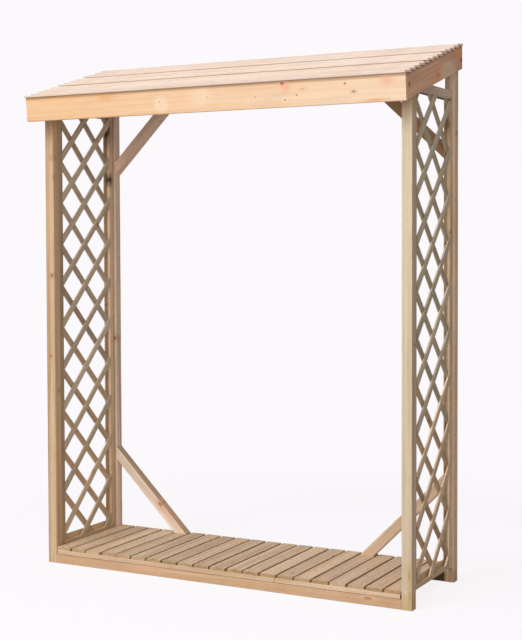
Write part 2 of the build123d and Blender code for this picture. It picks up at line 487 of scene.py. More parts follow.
@dataclass(frozen=True)
class TimberFinish:
    """The colours and figure of one kind of timber, with the painted light and shade that some kinds
    carry.
    """

    name: str
    pale: Screen
    dark: Screen
    tint: Screen
    tint_share: float = 0.35
    ring_width: float = 0.007
    ring_share: float = 0.6
    streak_share: float = 0.9
    fleck_share: float = 0.15
    tone_spread: float = 0.08
    tint_spread: float = 0.25
    knot_spacing: float = 0.075
    knot_radius: float = 0.007
    knot_share: float = 0.2
    end_tone: Colour = (0.62, 0.58, 0.5)
    end_spread: float = 0.3
    roughness: tuple[float, float] = (0.55, 0.78)
    relief: float = 0.0005
    drifts: tuple[Drift, ...] = ()

    WORN_SHARE = 0.35
    GRIME_SHARE = 0.1
    HALO_SHARE = 0.45
    CORE_SHARE = 0.75
    SECOND_DRAW = 5.0
    FIBRE_SPAN = (0.3, 0.7)
    KNOT_POLISH = 0.15
    FIBRE_RELIEF = 0.6
    BUMP = 0.6
    SPECULAR = 0.3

    def material(self, effects: Effects, name: str, knots: Iterable[KnotAndShade]) -> bpy.types.Material:
        """Build the finish.

        Args:
            effects: The shared effects.
            name: The material's name.
            knots: The knots, and the spots of painted shade, that one stick has at chosen places.

        Returns:
            The material.
        """
        wood = Wood(name, effects, self.pale)
        w, traits = wood.wiring, {"Place": wood.place, "Stick": wood.stick}
        grain = w.group(effects.grain, traits | {"Ring Width": self.ring_width})
        self.colour_wood(wood, grain)
        scattered = w.group(effects.knots, traits | {
            "Spacing": self.knot_spacing, "Radius": self.knot_radius, "Share": self.knot_share})
        wood.stain(scattered["Halo"], self.HALO_SHARE, self.dark)
        wood.stain(scattered["KnotAndShade"], self.CORE_SHARE, KNOT_BROWN)
        for knot in knots:
            knot.lay(wood)

        sockets = wood.made.node_tree.nodes["Principled BSDF"].inputs
        w.feed(sockets["Base Color"], self.toned(wood))
        rough = w.span(grain["Fibre"], *self.FIBRE_SPAN, *self.roughness)
        polish = w.times(scattered["KnotAndShade"], self.KNOT_POLISH)
        w.feed(sockets["Roughness"], w.math("SUBTRACT", rough, polish))
        fibre = w.times(grain["Fibre"], self.FIBRE_RELIEF)
        rings = w.times(grain["Rings"], 1 - self.FIBRE_RELIEF)
        height = w.math("ADD", fibre, rings)
        inputs = {"Height": height, "Strength": self.BUMP, "Distance": self.relief}
        w.feed(sockets["Normal"], w.node("ShaderNodeBump", inputs).outputs[0])
        sockets["Specular IOR Level"].default_value = self.SPECULAR
        return wood.made

    def colour_wood(self, wood: Wood, grain: Any) -> None:
        """Colour the clear wood: rings, streaks, the stick's own hue, patches, wear and drifts, some
        of which are painted light and shade.

        Args:
            wood: The material in the making.
            grain: The outputs of the grain effect.
        """
        w = wood.wiring
        wear = w.group(wood.effects.wear, {"Place": wood.place, "Arris": w.trait(Trait.ARRIS)})
        rings = w.times(grain["Rings"], self.ring_share)
        streaks = w.times(grain["Streaks"], self.streak_share)
        wood.lay(w.math("MAXIMUM", rings, streaks), linear(self.dark))
        hue = w.times(w.chance(wood.stick)["Value"], self.tint_spread)
        patches = w.times(grain["Mottle"], self.tint_share)
        wood.lay(w.math("MAXIMUM", hue, patches), linear(self.tint))
        wood.stain(grain["Flecks"], self.fleck_share, KNOT_BROWN)
        wood.stain(wear["Worn"], self.WORN_SHARE, self.pale)
        wood.stain(wear["Grime"], self.GRIME_SHARE, KNOT_BROWN)
        for drift in self.drifts:
            drift.lay(wood)

    def toned(self, wood: Wood) -> Socket:
        """Change the tone of the sawn ends, lighter on the roof boards as painted light, and give
        each stick a tone of its own.

        Args:
            wood: The material in the making.

        Returns:
            The finished colour.
        """
        w = wood.wiring
        chance = w.chance(w.math("ADD", wood.stick, self.SECOND_DRAW))
        limits = 1 + self.end_spread, 1 - self.end_spread
        uneven = w.span(w.parts(chance["Color"])[2], 0.0, 1.0, *limits)
        wood.lay(w.times(w.trait(Trait.SAWN), uneven), self.end_tone, "MULTIPLY")
        spread = {0: chance["Value"], 3: 1 - self.tone_spread, 4: 1 + self.tone_spread}
        tone = w.node("ShaderNodeMapRange", spread).outputs[0]
        return w.node("ShaderNodeHueSaturation", {"Value": tone, "Color": wood.colour}).outputs[0]


@dataclass(frozen=True)
class SteelFinish:
    """Dull galvanised steel for nail and screw heads."""

    name: str = "galvanised_steel"
    bright: Screen = (150, 148, 144)
    dull: Screen = (92, 88, 82)
    metallic: float = 0.85
    roughness: tuple[float, float] = (0.45, 0.7)

    BLOOM_STRETCH = (600.0, 600.0, 600.0)
    COLOUR_SPAN = (0.35, 0.65)
    ROUGH_SPAN = (0.3, 0.7)

    def material(self) -> bpy.types.Material:
        """Build the finish.

        Returns:
            The material.
        """
        made, w = new_material(self.name)
        sockets = made.node_tree.nodes["Principled BSDF"].inputs
        bloom = w.cloud(w.node("ShaderNodeTexCoord").outputs["Object"], self.BLOOM_STRETCH, 3.0)
        share = w.span(bloom, *self.COLOUR_SPAN)
        w.feed(sockets["Base Color"], w.blend(share, linear(self.dull), linear(self.bright)))
        w.feed(sockets["Roughness"], w.span(bloom, *self.ROUGH_SPAN, *self.roughness))
        sockets["Metallic"].default_value = self.metallic
        return made


def hull(points: Iterable[Point]) -> list[Point]:
    """Find the outline round a set of flat points.

    Args:
        points: The points.

    Returns:
        The corners of the outline, counter-clockwise.
    """
    ordered = sorted({(round(a, 6), round(b, 6)) for a, b in points})

    def half(run: Iterable[Point]) -> list[Point]:
        """Find one side of the outline.

        Args:
            run: The points in order along it.

        Returns:
            Its corners but the last.
        """
        chain: list[Point] = []
        for p in run:
            while len(chain) > 1 and turn(chain[-2], chain[-1], p) <= STRAIGHT:
                chain.pop()
            chain.append(p)
        return chain[:-1]

    return half(ordered) + half(reversed(ordered))


def turn(a: Point, b: Point, c: Point) -> float:
    """Return how far a path through three points turns to the left, as an area."""
    return (b[0] - a[0]) * (c[1] - b[1]) - (b[1] - a[1]) * (c[0] - b[0])


def oblong(a: Sequence[float], b: Sequence[float]) -> list[Point]:
    """Return the corners of an oblong with these two spans, counter-clockwise."""
    return [(a[0], b[0]), (a[1], b[0]), (a[1], b[1]), (a[0], b[1])]


def square_cuts(along: Vector, start: float, end: float) -> list[Facing]:
    """Return the saw cuts that end a stick square."""
    return [(along * start, -along), (along * end, along)]


def sharpened(outline: list[Point], shortest: float) -> list[Point]:
    """Run the sides of an outline on past its chamfers to sharp corners.

    Args:
        outline: Corners, counter-clockwise.
        shortest: Sides shorter than this are chamfers.

    Returns:
        The outline without them.
    """
    count = len(outline)
    corners: list[Point] = []
    for i in range(count):
        a, b, c, d = (Vector(outline[(i + k) % count]) for k in range(-1, 3))
        if (c - b).length < shortest:
            first, second = b - a, d - c
            share = turn((0, 0), second, c - a + second) / turn((0, 0), second, first + second)
            corners.append(tuple(a + first * share))
        elif (b - a).length >= shortest:
            corners.append(tuple(b))
    return corners


@dataclass
class Stick:
    """One straight timber: an outline run along its grain, with eased arrises and sawn ends."""

    outline: list[Point]
    along: Vector
    across: Vector
    start: float
    end: float
    cuts: list[Facing]
    ease: float = 0.002
    waver: float = 0.0003
    station: float = 0.05
    finish: int = 0
    through: Vector = field(init=False)
    heart: Vector = field(init=False)
    middle: Vector = field(init=False)

    CHAMFER = 0.0026
    END_SHARE = 0.25
    ARC_STEPS = 3
    HOLD = 0.004
    EASE_LIMIT = 0.3
    HOLD_LIMIT = 0.45
    EASE_WANDER = 0.45
    EASE_WAVES = 23.0
    EASE_STEP = 91.0
    WAVER_ALONG = 7.0
    WAVER_ACROSS = 30.0
    WAVER_STEP = 57.0
    WELD = 1e-6

    @classmethod
    def from_node(cls, node: str, along: Vector, across: Vector, **settings: Any) -> "Stick":
        """Take a stick's outline, length and saw cuts from a CAD node.

        Args:
            node: The node's name.
            along: The direction of its grain.
            across: A direction square to the grain.
            **settings: Other fields of the stick.

        Returns:
            The stick.
        """
        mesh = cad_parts[node].data
        through = along.cross(across)
        corners = [v.co for v in mesh.vertices]
        flat = hull((c.dot(across), c.dot(through)) for c in corners)
        reach = [c.dot(along) for c in corners]
        cuts: dict[tuple[float, ...], Facing] = {}
        for face in mesh.polygons:
            if abs(face.normal.dot(along)) > cls.END_SHARE:
                key = (*(round(n, 3) for n in face.normal), round(face.normal.dot(face.center), 4))
                cuts[key] = (face.center.copy(), face.normal.copy())
        outline = sharpened(flat, cls.CHAMFER)
        return cls(outline, along, across, min(reach), max(reach), list(cuts.values()), **settings)

    @classmethod
    def bar(cls, low: Sequence[float], high: Sequence[float], along: Vector, across: Vector,
            **settings: Any) -> "Stick":
        """Make a square-ended bar between two corners.

        Args:
            low: Lowest corner.
            high: Highest corner.
            along: The direction of its grain, along an axis.
            across: Another axis.
            **settings: Other fields of the stick.

        Returns:
            The stick.
        """
        low, high = Vector(low), Vector(high)
        axes = (across, along.cross(across), along)
        a, b, (start, end) = (sorted((low.dot(axis), high.dot(axis))) for axis in axes)
        cuts = square_cuts(along, start, end)
        return cls(oblong(a, b), along, across, start, end, cuts, **settings)

    def __post_init__(self) -> None:
        """Find the third axis and the middle that the grain frame is measured from."""
        self.through = self.along.cross(self.across)
        a, b = (sum(p[k] for p in self.outline) / len(self.outline) for k in (0, 1))
        self.heart = Vector((a, b))
        self.middle = self.at((self.start + self.end) / 2, (a, b))

    def at(self, distance: float, point: Sequence[float]) -> Vector:
        """Return the place in the frame of a point of the outline at a distance along the grain."""
        return self.along * distance + self.across * point[0] + self.through * point[1]

    def grain_place(self, place: Vector) -> Vector:
        """Return a place measured from the stick's middle, along, across and through it."""
        offset = place - self.middle
        return Vector((offset.dot(self.along), offset.dot(self.across), offset.dot(self.through)))

    def eased(self, ease: float) -> list[Vector]:
        """Round the outward corners of the outline and hold its flats straight beside them.

        Args:
            ease: How far the rounding reaches from a corner.

        Returns:
            The points of the rounded outline.
        """
        count = len(self.outline)
        points: list[Vector] = []
        for i in range(count):
            before, corner, after = (Vector(self.outline[(i + k) % count]) for k in (-1, 0, 1))
            inward = turn(before, corner, after) < 0
            sides = []
            for other in (before, after):
                side = other - corner
                reach = min(ease, side.length * self.EASE_LIMIT)
                hold = min(reach + self.HOLD, side.length * self.HOLD_LIMIT)
                sides.append((side.normalized(), reach, hold))
            (back, back_reach, back_hold), (on, on_reach, on_hold) = sides
            points.append(corner + back * back_hold)
            if inward:
                points.append(corner)
            else:
                first, last = corner + back * back_reach, corner + on * on_reach
                for k in range(self.ARC_STEPS + 1):
                    t = k / self.ARC_STEPS
                    points.append(first * (1 - t) ** 2 + corner * (2 * t * (1 - t)) + last * t ** 2)
            points.append(corner + on * on_hold)
        return points

    def solid(self, seed: float) -> bmesh.types.BMesh:
        """Build the stick's closed mesh.

        Args:
            seed: A number that makes its unevenness its own.

        Returns:
            The mesh, which the caller frees.
        """
        made = bmesh.new()
        length = self.end - self.start + 2 * self.HOLD
        count = max(2, round((self.end - self.start) / self.station) + 1)
        size = max((Vector(p) - self.heart).length for p in self.outline)
        loops = []
        for k in range(count + 1):
            distance = self.start - self.HOLD + length * k / count
            wander = noise.noise(Vector((distance * self.EASE_WAVES, seed * self.EASE_STEP, 0.0)))
            loop = []
            for point in self.eased(self.ease * (1.0 + self.EASE_WANDER * wander)):
                a, b = (part * self.WAVER_ACROSS for part in point)
                spot = Vector((distance * self.WAVER_ALONG, a + seed * self.WAVER_STEP, b))
                inset = self.waver * (0.5 + 0.5 * noise.noise(spot)) / size
                place = self.heart + (point - self.heart) * (1 - inset)
                loop.append(made.verts.new(self.at(distance, place)))
            loops.append(loop)
        skin(made, loops)
        for place, normal in self.cuts:
            everything = [*made.verts, *made.edges, *made.faces]
            bmesh.ops.bisect_plane(made, geom=everything, dist=self.WELD, plane_co=place,
                                   plane_no=normal, clear_outer=True)
            bmesh.ops.holes_fill(made, edges=[e for e in made.edges if e.is_boundary])
        bmesh.ops.recalc_face_normals(made, faces=made.faces)
        return made

    def arris_share(self, place: Vector) -> float:
        """Find how near a place lies to a long edge.

        Args:
            place: A place on the stick.

        Returns:
            A share from 0 to 1.
        """
        local = Vector((place.dot(self.across), place.dot(self.through)))
        nearest = min((local - Vector(p)).length for p in self.outline)
        return max(0.0, 1.0 - nearest / (2 * self.HOLD))


class TimberMesh:
    """Gathers sticks into one mesh and keeps what the shaders read."""

    SHARP = math.radians(42)

    def __init__(self) -> None:
        """Start with nothing."""
        self.places: list[Vector] = []
        self.faces: list[list[int]] = []
        self.finishes: list[int] = []
        self.traits: dict[Trait, list[float]] = {trait: [] for trait in Trait}

    def add(self, stick: Stick, seed: float) -> None:
        """Add one stick.

        Args:
            stick: The stick.
            seed: Its own number from 0 to 1, which sets its figure and tone.
        """
        solid = stick.solid(seed)
        base = len(self.places)
        solid.verts.index_update()
        for vert in solid.verts:
            self.places.append(vert.co.copy())
            self.traits[Trait.GRAIN].extend(stick.grain_place(vert.co))
            self.traits[Trait.STICK].append(seed)
            self.traits[Trait.ARRIS].append(stick.arris_share(vert.co))
        for face in solid.faces:
            self.faces.append([base + v.index for v in face.verts])
            self.finishes.append(stick.finish)
            sawn = abs(face.normal.dot(stick.along)) > stick.END_SHARE
            self.traits[Trait.SAWN].append(float(sawn))
        solid.free()

    def to_object(self, name: str) -> bpy.types.Object:
        """Make the Blender object.

        Args:
            name: The piece's name.

        Returns:
            The object, linked to the scene.
        """
        mesh = bpy.data.meshes.new(name)
        mesh.from_pydata(self.places, [], self.faces)
        kinds = {
            Trait.GRAIN: ("FLOAT_VECTOR", "POINT", "vector"),
            Trait.STICK: ("FLOAT", "POINT", "value"),
            Trait.ARRIS: ("FLOAT", "POINT", "value"),
            Trait.SAWN: ("FLOAT", "FACE", "value"),
        }
        for trait, (kind, domain, key) in kinds.items():
            mesh.attributes.new(trait.value, kind, domain).data.foreach_set(key, self.traits[trait])
        mesh.polygons.foreach_set("material_index", self.finishes)
        mesh.shade_smooth()
        mesh.set_sharp_from_angle(angle=self.SHARP)
        return set_out(name, mesh)


class Workshop:
    """Holds the finishes and the seeded chance, and turns sticks into dressed pieces."""

    HEAD_SIDES = 10
    HEAD_PROFILE = ((0.6, -2.0), (1.0, 0.0), (0.92, 0.6), (0.5, 0.95))

    def __init__(self, finishes: Iterable[TimberFinish]) -> None:
        """Set out the effects, the finishes and the seeded chance.

        Args:
            finishes: The timber finishes, kept by name.
        """
        self.effects = Effects()
        self.chance = random.Random(SEED)
        self.finishes = {finish.name: finish for finish in finishes}
        self.materials: dict[str, bpy.types.Material] = {}
        self.steel = SteelFinish().material()

    def material(self, finish: str, node: str) -> bpy.types.Material:
        """Find a finish's material, or make it, with the knots and spots of painted shade that a node
        has of its own.

        Args:
            finish: The finish's name.
            node: The CAD node that it goes on.

        Returns:
            The material.
        """
        knots = KNOTS_AND_SHADE.get(node, ())
        name = f"{node}_knotty" if knots else finish
        if name not in self.materials:
            self.materials[name] = self.finishes[finish].material(self.effects, name, knots)
        return self.materials[name]

    def piece(self, name: str, sticks: Iterable[Stick], finishes: Sequence[str], slot: Slot,
              *nodes: str) -> None:
        """Make one piece from its sticks and set it in the frame.

        Args:
            name: The piece's name.
            sticks: The timbers in it.
            finishes: The names of its finishes, which each stick picks from by number.
            slot: The record's material slot; not used.
            *nodes: The CAD nodes that it stands for.
        """
        mesh = TimberMesh()
        for stick in sticks:
            mesh.add(stick, self.chance.random())
        made = mesh.to_object(name)
        for finish in finishes:
            made.data.materials.append(self.material(finish, nodes[0]))
        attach(made, BODY)
        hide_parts(*nodes)
        LOG.info("%s: %d faces", name, len(mesh.faces))

    def timber(self, node: str, stick: Stick, finish: str, slot: Slot) -> None:
        """Make the one stick of a node into a piece named after it."""
        self.piece(f"{node}_timber", [stick], [finish], slot, node)

    def member(self, node: str, along: Vector, across: Vector, ease: float, finish: str,
               slot: Slot) -> None:
        """Make a node's stick, shaped as the CAD has it, into a piece."""
        self.timber(node, Stick.from_node(node, along, across, ease=ease), finish, slot)

    def heads(self, name: str, places: Iterable[Facing], radius: float, rise: float) -> None:
        """Make a set of domed nail or screw heads as one piece.

        Args:
            name: The piece's name.
            places: Where each head sits and which way it faces.
            radius: Half the width of a head.
            rise: How far its crown stands proud.
        """
        made = bmesh.new()
        for place, normal in places:
            self.head(made, place, normal, radius, rise)
        mesh = bpy.data.meshes.new(name)
        made.to_mesh(mesh)
        made.free()
        mesh.shade_smooth()
        mesh.set_sharp_from_angle(angle=TimberMesh.SHARP)
        mesh.materials.append(self.steel)
        piece = set_out(name, mesh)
        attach(piece, BODY)
        LOG.info("%s: %d faces", name, len(mesh.polygons))

    def head(self, made: bmesh.types.BMesh, place: Vector, normal: Vector, radius: float,
             rise: float) -> None:
        """Add one head: a rim, a crown and a shank end sunk in the timber.

        Args:
            made: The mesh it goes into.
            place: The point of the timber's face under its middle.
            normal: The way the face looks.
            radius: Half the width of the head.
            rise: How far its crown stands proud.
        """
        turned = normal.to_track_quat("Z", "Y")
        loops = []
        for share, lift in self.HEAD_PROFILE:
            loop = []
            for k in range(self.HEAD_SIDES):
                angle = 2 * math.pi * k / self.HEAD_SIDES
                flat = Vector((math.cos(angle), math.sin(angle), 0.0)) * radius * share
                loop.append(made.verts.new(place + turned @ (flat + UPWARDS * rise * lift)))
            loops.append(loop)
        skin(made, loops)
        made.faces.new(list(reversed(loops[0])))
        made.faces.new(loops[-1])


@dataclass
class Framing:
    """The posts, the rails between them and the battens."""

    shop: Workshop
    ease: float = 0.0025
    batten_ease: float = 0.0015

    POSTS = {
        "front_left_post": "warm_post_timber",
        "front_right_post": "pale_post_timber",
        "rear_left_post": "rear_left_timber",
        "rear_right_post": "rear_right_timber",
    }
    RAILS = {"front": "rail_timber", "rear": "rear_rail_timber"}

    def build(self) -> None:
        """Build and dress every straight member of the frame."""
        for node, finish in self.POSTS.items():
            self.shop.member(node, UPWARDS, SIDEWAYS, self.ease, finish, Slot.FRAME)
        for place, finish in self.RAILS.items():
            for level in ("bottom", "top"):
                node = f"{place}_{level}_rail"
                self.shop.member(node, SIDEWAYS, BACKWARDS, self.ease, finish, Slot.FRAME)
        for place in ("front", "middle", "rear"):
            self.shop.member(f"{place}_floor_batten", SIDEWAYS, BACKWARDS, self.batten_ease,
                             "batten_timber", Slot.FLOOR)


@dataclass
class FloorSlats:
    """The slats that run front to back over the battens."""

    shop: Workshop
    count: int = 21
    width: float = 0.060
    ease: float = 0.0022
    shift: float = 0.0012
    recess: float = 0.003
    pale_from: int = 13
    node: str = "floor_slats"

    FINISHES = ("slat_timber", "pale_slat_timber")
    SET_BACK = {1: 0.006, 3: 0.010, 4: 0.004, 11: 0.005, 18: 0.004}

    def lefts(self) -> list[float]:
        """Find where the slats lie when they are evenly spaced.

        Returns:
            The X of each slat's left edge.
        """
        low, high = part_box(self.node)
        pitch = (high.x - low.x - self.width) / (self.count - 1)
        return [low.x + k * pitch for k in range(self.count)]

    def build(self) -> None:
        """Build the slats as one piece, each a little out of line and some short at the front."""
        low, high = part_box(self.node)
        chance = self.shop.chance
        sticks = []
        for k, left in enumerate(self.lefts()):
            inner = 0 < k < self.count - 1
            x = left + (chance.uniform(-self.shift, self.shift) if inner else 0.0)
            front = low.y + self.SET_BACK.get(k, chance.uniform(0.0, self.recess))
            rear = high.y - chance.uniform(0.0, self.recess)
            corners = (x, front, low.z), (x + self.width, rear, high.z)
            sticks.append(Stick.bar(*corners, BACKWARDS, SIDEWAYS, ease=self.ease,
                                    finish=int(k >= self.pale_from)))
        self.shop.piece("slatted_floor", sticks, self.FINISHES, Slot.FLOOR, self.node)


@dataclass
class SideFrame:
    """One rebated side frame with its crossed laths."""

    shop: Workshop
    side: str
    lip_thickness: float = 0.004
    lip_width: float = 0.021
    head_lip: float = 0.005
    lath_width: float = 0.024
    lath_swell: float = 0.001
    lath_bays: int = 2
    lath_overrun: float = 0.0006
    crossing_rise: float = 1.179
    ease: float = 0.002
    lath_ease: float = 0.0012
    lath_waver: float = 0.0002
    lath_shift: float = 0.0015
    # Height below which the laths take the brown low finishes; above it, darker ones that are partly
    # painted roof shade.
    shaded_above_brown_below: float = 0.75

    LAYERS = ("under", "over")
    LEVELS = ("high", "low")
    LOWEST = -7
    MM_PER_METRE = 1000
    STRAY = {
        "left": ((3.5, -1.0, -4.5, -4.0, -5.5, -4.5, -7.5, -11.0, -12.5, -14.0, -13.5),
                 (13.0, 11.0, 13.0, 11.0, 5.0, 4.5, 5.5, 8.0, 7.0, 3.0, 2.0)),
        "right": ((10.0, 11.0, 11.5, 10.5, 10.0, 3.0, 2.0, -0.5, 0.0, -5.5, -5.0),
                  (3.5, 3.5, -4.5, 4.5, 3.5, 2.5, 2.5, 1.5, -3.0, 0.5, 4.5)),
    }

    def build(self) -> None:
        """Build the stiles, the rails and the lattice."""
        for place, hand in (("front", 1), ("rear", -1)):
            finish = f"{place}_stile_timber"
            self.bar(f"{self.side}_{place}_stile", BACKWARDS, hand, UPWARDS, self.lip_width, finish)
        self.bar(f"{self.side}_bottom_rail", UPWARDS, 1, BACKWARDS, self.lip_width, "sill_timber")
        self.bar(f"{self.side}_top_rail", UPWARDS, -1, BACKWARDS, self.head_lip, "head_timber")
        self.lattice(f"{self.side}_lattice")

    def bar(self, node: str, wide: Vector, hand: int, along: Vector, lip_width: float,
            finish: str) -> None:
        """Build one bar of the frame, with a rebate along its inner right-hand edge.

        Args:
            node: The CAD node.
            wide: The direction in which the lip reaches.
            hand: 1 if the lip is on the high side, -1 if on the low side.
            along: The direction of the grain.
            lip_width: How far the lip reaches past the body.
            finish: The name of its finish.
        """
        low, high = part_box(node)
        outer, inner = (corner.dot(wide) for corner in (low, high)[::hand])
        step = inner - hand * lip_width
        lip = low.x + self.lip_thickness
        corners = [(low.x, outer), (high.x, outer), (high.x, step),
                   (lip, step), (lip, inner), (low.x, inner)]
        flip = along.cross(SIDEWAYS).dot(wide)
        outline = [(x, y * flip) for x, y in corners]
        area = sum(a[0] * b[1] - a[1] * b[0] for a, b in zip(outline, outline[1:] + outline[:1]))
        if area < 0:
            outline.reverse()
        start, end = low.dot(along), high.dot(along)
        cuts = square_cuts(along, start, end)
        stick = Stick(outline, along, SIDEWAYS, start, end, cuts, ease=self.ease)
        self.shop.timber(node, stick, finish, Slot.LATTICE)

    def lattice(self, node: str) -> None:
        """Build both layers of laths, cut to the rebate, as one piece.

        Args:
            node: The CAD node.
        """
        low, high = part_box(node)
        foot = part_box(f"{self.side}_bottom_rail")[0].z
        centre = Vector(((low.x + high.x) / 2, (low.y + high.y) / 2, foot + self.crossing_rise))
        thickness = (high.x - low.x) / 2 + self.lath_swell
        edges = [(low, -BACKWARDS), (high, BACKWARDS), (low, -UPWARDS), (high, UPWARDS)]
        width, below, above = high.y - low.y, centre.z - low.z, high.z - centre.z
        step = (width + 2 * self.lath_overrun) / self.lath_bays
        chance = self.shop.chance
        sticks = []
        for layer, lean in enumerate((-1, 1)):
            along = (BACKWARDS + UPWARDS * lean).normalized()
            base = low.x + layer * thickness
            strays = self.STRAY[self.side][layer]
            for k in range(-int((below + width) / step), int((above + width) / step) + 1):
                if not -below - width / 2 < k * step < above + width / 2:
                    continue
                stray = strays[min(max(k - self.LOWEST, 0), len(strays) - 1)] / self.MM_PER_METRE
                stray += chance.uniform(-self.lath_shift, self.lath_shift)
                heart = centre + UPWARDS * (k * step + stray)
                lath = self.lath(heart, along, base, thickness, width, edges)
                # Laths above this height take the darker high finishes: partly painted roof shade,
                # partly weathered wood.
                lath.finish = layer * len(self.LEVELS) + int(heart.z < self.shaded_above_brown_below)
                sticks.append(lath)
        finishes = [f"{self.side}_{layer}_{level}_lath"
                    for layer in self.LAYERS for level in self.LEVELS]
        self.shop.piece(f"{node}_laths", sticks, finishes, Slot.LATTICE, node)

    def lath(self, heart: Vector, along: Vector, base: float, thickness: float, width: float,
             edges: list[Facing]) -> Stick:
        """Make one lath.

        Args:
            heart: A point on its middle line.
            along: The direction of its grain.
            base: The X of the face that it lies on.
            thickness: Its thickness.
            width: The width of the rebate it spans.
            edges: The saw cuts round the rebate.

        Returns:
            The stick.
        """
        reach = width / math.sqrt(2) + self.lath_width
        half = self.lath_width / 2
        b, s = heart.dot(along.cross(SIDEWAYS)), heart.dot(along)
        outline = oblong((base, base + thickness), (b - half, b + half))
        return Stick(outline, along, SIDEWAYS, s - reach, s + reach, edges,
                     ease=self.lath_ease, waver=self.lath_waver)


@dataclass
class Braces:
    """The four corner braces in the plane of the rear posts."""

    shop: Workshop
    ease: float = 0.0025
    spare: float = 0.03

    STRAY = {
        "bottom_left_brace": (-0.002, 0.0),
        "bottom_right_brace": (0.0033, 0.0),
        "top_right_brace": (0.006, 0.041),
    }

    def build(self) -> None:
        """Build each brace along its own slope, some nailed a little out of line."""
        for side, hand in (("left", -1), ("right", 1)):
            for place, rise in (("bottom", 1), ("top", -1)):
                node = f"{place}_{side}_brace"
                along = (SIDEWAYS * hand + UPWARDS * rise).normalized()
                stick = Stick.from_node(node, along, BACKWARDS, ease=self.ease)
                if node in self.STRAY:
                    stick = self.strayed(stick, *self.STRAY[node])
                self.shop.timber(node, stick, f"{node}_timber", Slot.FRAME)

    def strayed(self, stick: Stick, shift: float, lean: float) -> Stick:
        """Move a brace square to its length and lean it, between the same saw cuts.

        Args:
            stick: The brace as the CAD has it.
            shift: How far it moves.
            lean: How far it leans for each metre of its length.

        Returns:
            The brace as it was nailed.
        """
        along = (stick.along + stick.through * lean).normalized()
        through = along.cross(stick.across)
        moved = stick.middle + stick.through * shift
        outline = [(a, moved.dot(through) + b - stick.heart.y) for a, b in stick.outline]
        reach = (stick.end - stick.start) / 2 + self.spare
        middle = moved.dot(along)
        return replace(stick, outline=outline, along=along,
                       start=middle - reach, end=middle + reach)


@dataclass
class RoofEdge:
    """The fascia, the bargeboards and the rafter that the roof boards lie on."""

    shop: Workshop
    pitch: float = math.radians(16.5)
    lean: float = math.radians(5.5)
    ease: float = 0.002
    drop: float = 0.007

    SLOPING = {
        "left_bargeboard": ("barge_timber", Slot.TRIM),
        "right_bargeboard": ("barge_timber", Slot.TRIM),
        "middle_rafter": ("rail_timber", Slot.FRAME),
    }

    def build(self) -> None:
        """Build the three boards, with the fascia's lower edge dropped a little, and the rafter."""
        upright = Vector((0, -math.sin(self.lean), math.cos(self.lean)))
        fascia = Stick.from_node("front_fascia", SIDEWAYS, upright, ease=self.ease)
        fascia.outline = [(a - self.drop if a < fascia.heart.x else a, b)
                          for a, b in fascia.outline]
        self.shop.piece("front_fascia_board", [fascia], ["fascia_timber"], Slot.TRIM,
                        "front_fascia")
        slope = Vector((0, math.cos(self.pitch), math.sin(self.pitch)))
        square = SIDEWAYS.cross(slope)
        for node, (finish, slot) in self.SLOPING.items():
            self.shop.member(node, slope, square, self.ease, finish, slot)


@dataclass
class RoofBoards:
    """The lapped boards of the roof, two of which have sprung a little at their lower edges."""

    shop: Workshop
    count: int = 13
    ease: float = 0.0012

    SPRING = {6: 0.0022, 10: 0.0022}

    def build(self) -> None:
        """Build each board as a piece of its own."""
        for number in range(1, self.count + 1):
            node = f"roof_board_{number:02d}"
            stick = Stick.from_node(node, SIDEWAYS, BACKWARDS, ease=self.ease)
            if number in self.SPRING:
                self.lift(stick, self.SPRING[number])
            self.shop.timber(node, stick, "roof_timber", Slot.ROOF)

    @staticmethod
    def lift(stick: Stick, rise: float) -> None:
        """Raise a board's lower edge and leave its upper edge where it is.

        Args:
            stick: The board, whose outline changes.
            rise: How far the lower edge goes up.
        """
        front, rear = (limit(p[0] for p in stick.outline) for limit in (min, max))
        stick.outline = [(y, z + rise * (rear - y) / (rear - front)) for y, z in stick.outline]


@dataclass
class Fixings:
    """The nail and screw heads that hold the timbers."""

    shop: Workshop
    nail: float = 0.0022
    screw: float = 0.004
    rise: float = 0.0005

    NAIL_SHARES = (0.22, 0.78)
    SCREW_SHARES = ((0.3, 0.35), (0.75, 0.65))

    def build(self) -> None:
        """Set every head on the face of the timber that it holds."""
        self.shop.heads("floor_nails", self.floor_places(), self.nail, self.rise)
        self.shop.heads("frame_screws", self.frame_places(), self.screw, self.rise)

    def floor_places(self) -> list[Facing]:
        """Find two places on each slat over each batten.

        Returns:
            The places and the way they face.
        """
        floor = FloorSlats(self.shop)
        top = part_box(floor.node)[1].z
        places = []
        for batten in ("front", "middle", "rear"):
            first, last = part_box(f"{batten}_floor_batten")
            for left in floor.lefts():
                for share in self.NAIL_SHARES:
                    x = left + floor.width * share
                    places.append((Vector((x, (first.y + last.y) / 2, top)), UPWARDS))
        return places

    def frame_places(self) -> list[Facing]:
        """Find two places on the outer face of each left post over the end of each bottom rail.

        Returns:
            The places and the way they face.
        """
        places = []
        for place in ("front", "rear"):
            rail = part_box(f"{place}_bottom_rail")
            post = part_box(f"{place}_left_post")
            for up, back in self.SCREW_SHARES:
                z = rail[0].z + (rail[1].z - rail[0].z) * up
                y = rail[0].y + (rail[1].y - rail[0].y) * back
                places.append((Vector((post[0].x, y, z)), -SIDEWAYS))
        return places


def bearing(azimuth: float, elevation: float) -> Vector:
    """Return the direction that lies so many degrees right of the front and above level."""
    a, e = math.radians(azimuth), math.radians(elevation)
    return Vector((math.sin(a) * math.cos(e), -math.cos(a) * math.cos(e), math.sin(e)))


